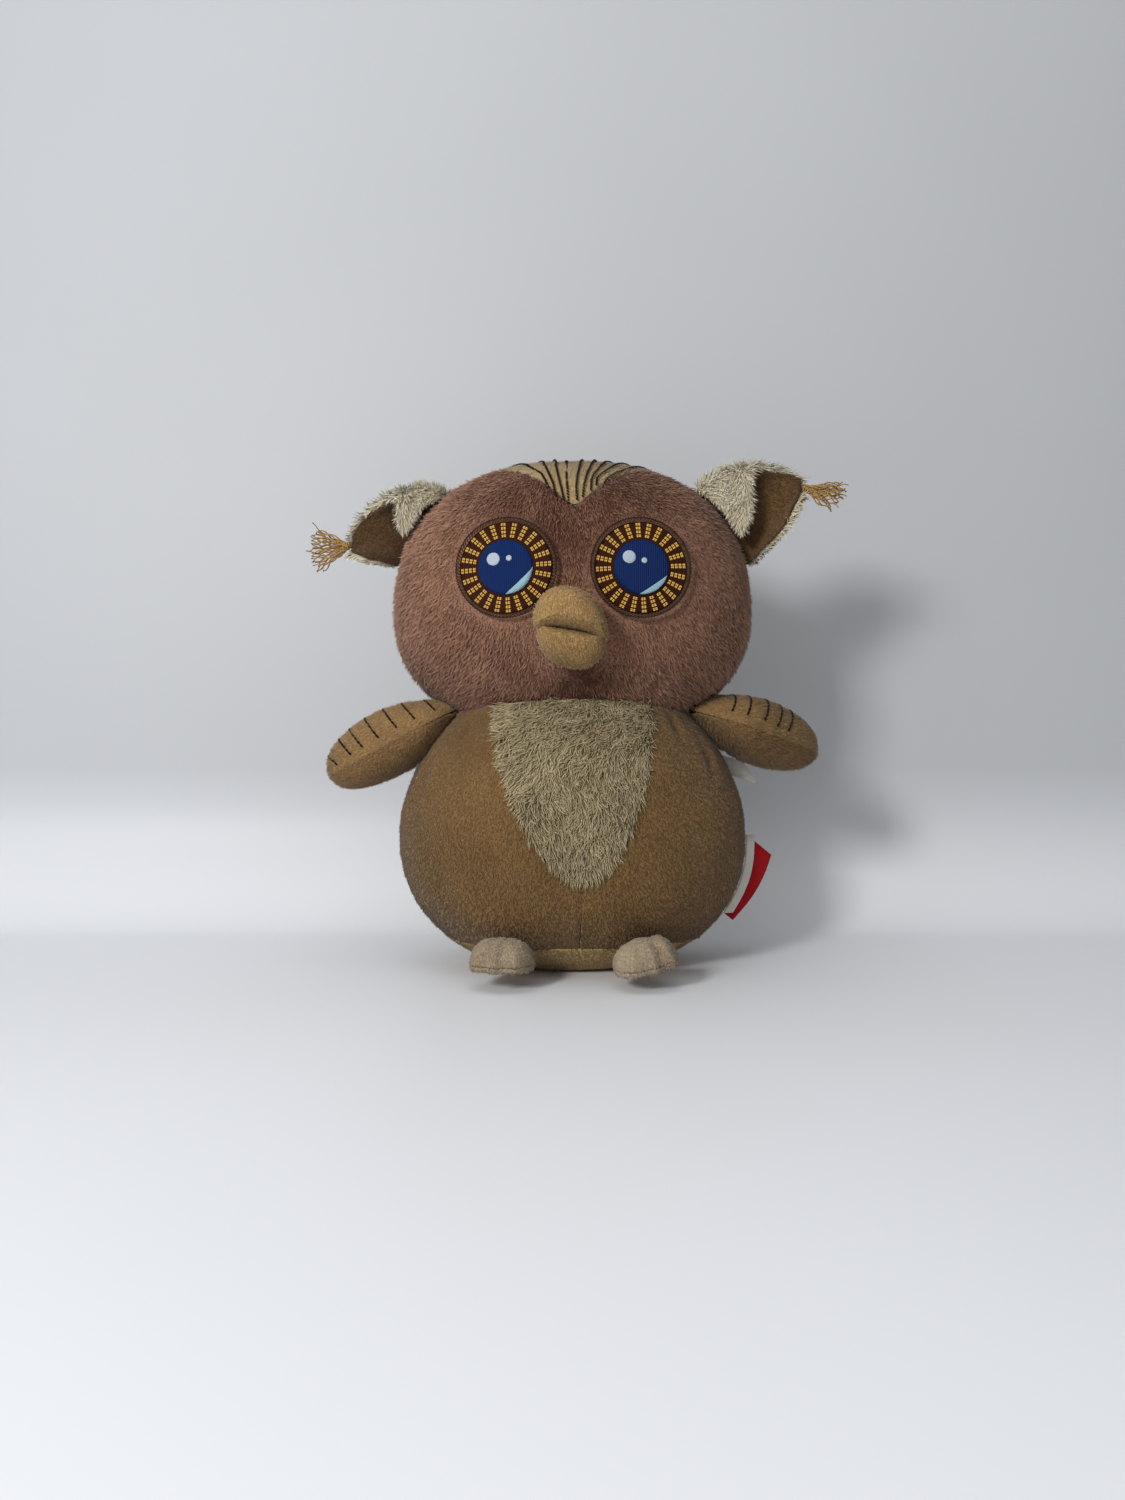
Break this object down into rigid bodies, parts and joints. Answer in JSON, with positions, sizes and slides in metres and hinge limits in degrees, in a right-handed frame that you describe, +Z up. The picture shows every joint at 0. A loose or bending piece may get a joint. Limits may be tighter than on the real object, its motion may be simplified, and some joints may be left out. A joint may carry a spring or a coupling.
{
  "type": "plush owl",
  "caption": "Seated plush owl with a stuffed body and head, folded ears with yarn tassels, flapping wings, small feet and embroidered round eyes.",
  "frame": {"origin": "centre of the flat underside of the base panel, on the surface that the owl stands on", "axes": "the owl faces -Y, its own left is +X, and +Z is up"},
  "size_m": [0.2439, 0.1382, 0.2249],
  "materials": {
    "mauve_pile": "short mauve-brown plush pile",
    "brown_pile": "short brown plush pile",
    "tan_pile": "short golden tan plush pile",
    "cream_long_pile": "long cream plush pile",
    "cream_short_pile": "short cream plush pile",
    "ear_lining_pile": "short dark brown pile",
    "beak_pile": "short mustard pile",
    "eye_embroidery": "satin-stitch embroidery, dark brown and gold",
    "eye_cord": "dark embroidered cord",
    "pupil_embroidery": "satin-stitch embroidery, dark blue",
    "tassel_yarn": "straw-coloured yarn",
    "white_tape": "bare woven tape, white",
    "red_tape": "bare woven tape, red",
    "stuffing_fibre": "polyester fibre stuffing",
    "pouch_cloth": "woven pouch filled with plastic pellets"
  },
  "bodies": {
    "torso": {"base_panel": "tan_pile", "body_front_right": "brown_pile", "body_front_left": "brown_pile", "body_back_right": "brown_pile", "body_back_left": "brown_pile", "chest_bib": "cream_long_pile", "body_stuffing": "stuffing_fibre", "pellet_pouch": "pouch_cloth", "head_stuffing": "stuffing_fibre", "head_face": "mauve_pile", "head_back": "tan_pile", "beak_upper": "beak_pile", "beak_lower": "beak_pile", "eye_right_iris": "eye_embroidery", "eye_right_pupil": "pupil_embroidery", "eye_right_rim": "eye_cord", "eye_left_iris": "eye_embroidery", "eye_left_pupil": "pupil_embroidery", "eye_left_rim": "eye_cord"},
    "wing_right": {"wing_right_upper": "tan_pile", "wing_right_lower": "brown_pile", "wing_right_stuffing": "stuffing_fibre", "wing_right_tab": "tan_pile"},
    "wing_left": {"wing_left_upper": "tan_pile", "wing_left_lower": "brown_pile", "wing_left_stuffing": "stuffing_fibre", "wing_left_tab": "tan_pile"},
    "ear_right": {"ear_right_outer": "cream_long_pile", "ear_right_inner": "ear_lining_pile"},
    "ear_left": {"ear_left_outer": "cream_long_pile", "ear_left_inner": "ear_lining_pile"},
    "tassel_right": {"tassel_right": "tassel_yarn"},
    "tassel_left": {"tassel_left": "tassel_yarn"},
    "foot_right": {"foot_right_top": "cream_short_pile", "foot_right_sole": "cream_short_pile"},
    "foot_left": {"foot_left_top": "cream_short_pile", "foot_left_sole": "cream_short_pile"},
    "side_label": {"side_label_white": "white_tape", "side_label_red": "red_tape"},
    "care_label": {"care_label": "white_tape"}
  },
  "joints": [
    {"name": "wing_right_flap", "type": "hinge", "parent": "torso", "child": "wing_right", "pos_m": [-0.0539, -0.007, 0.1134], "axis": [0, 1, 0], "range_deg": [-2, 30], "stiffness_Nm_per_rad": 0.15},
    {"name": "wing_left_flap", "type": "hinge", "parent": "torso", "child": "wing_left", "pos_m": [0.0539, -0.007, 0.1134], "axis": [0.2419, -0.9703, 0], "range_deg": [-8, 17], "stiffness_Nm_per_rad": 0.15},
    {"name": "ear_right_fold", "type": "hinge", "parent": "torso", "child": "ear_right", "pos_m": [-0.07113, 0.0018, 0.19558], "axis": [-0.567, 0, -0.8237], "range_deg": [-2, 20], "stiffness_Nm_per_rad": 0.03},
    {"name": "ear_left_fold", "type": "hinge", "parent": "torso", "child": "ear_left", "pos_m": [0.07113, 0.0018, 0.19558], "axis": [-0.567, 0, 0.8237], "range_deg": [-2, 20], "stiffness_Nm_per_rad": 0.03},
    {"name": "tassel_right_swing", "type": "hinge", "parent": "ear_right", "child": "tassel_right", "pos_m": [-0.09891, -0.00558, 0.18816], "axis": [0, 1, 0], "range_deg": [-20, 25], "stiffness_Nm_per_rad": 0.001},
    {"name": "tassel_left_swing", "type": "hinge", "parent": "ear_left", "child": "tassel_left", "pos_m": [0.10216, -0.00558, 0.21445], "axis": [0, -1, 0], "range_deg": [-15, 25], "stiffness_Nm_per_rad": 0.001},
    {"name": "foot_right_bend", "type": "hinge", "parent": "torso", "child": "foot_right", "pos_m": [-0.02456, -0.03744, 0.01328], "axis": [-0.9659, 0.2588, 0], "range_deg": [-10, 15], "stiffness_Nm_per_rad": 0.05},
    {"name": "foot_left_bend", "type": "hinge", "parent": "torso", "child": "foot_left", "pos_m": [0.02456, -0.03744, 0.01328], "axis": [-0.9448, -0.2532, -0.2079], "range_deg": [-10, 15], "stiffness_Nm_per_rad": 0.05},
    {"name": "side_label_flip", "type": "hinge", "parent": "torso", "child": "side_label", "pos_m": [0.07629, -0.00594, 0.04132], "axis": [0.2988, 0.1567, 0.9414], "range_deg": [-50, 10], "stiffness_Nm_per_rad": 0.0005},
    {"name": "care_label_flip", "type": "hinge", "parent": "torso", "child": "care_label", "pos_m": [0.06997, 0.01046, 0.08957], "axis": [-0.4561, 0.1934, 0.8687], "range_deg": [-20, 30], "stiffness_Nm_per_rad": 0.0005}
  ]
}
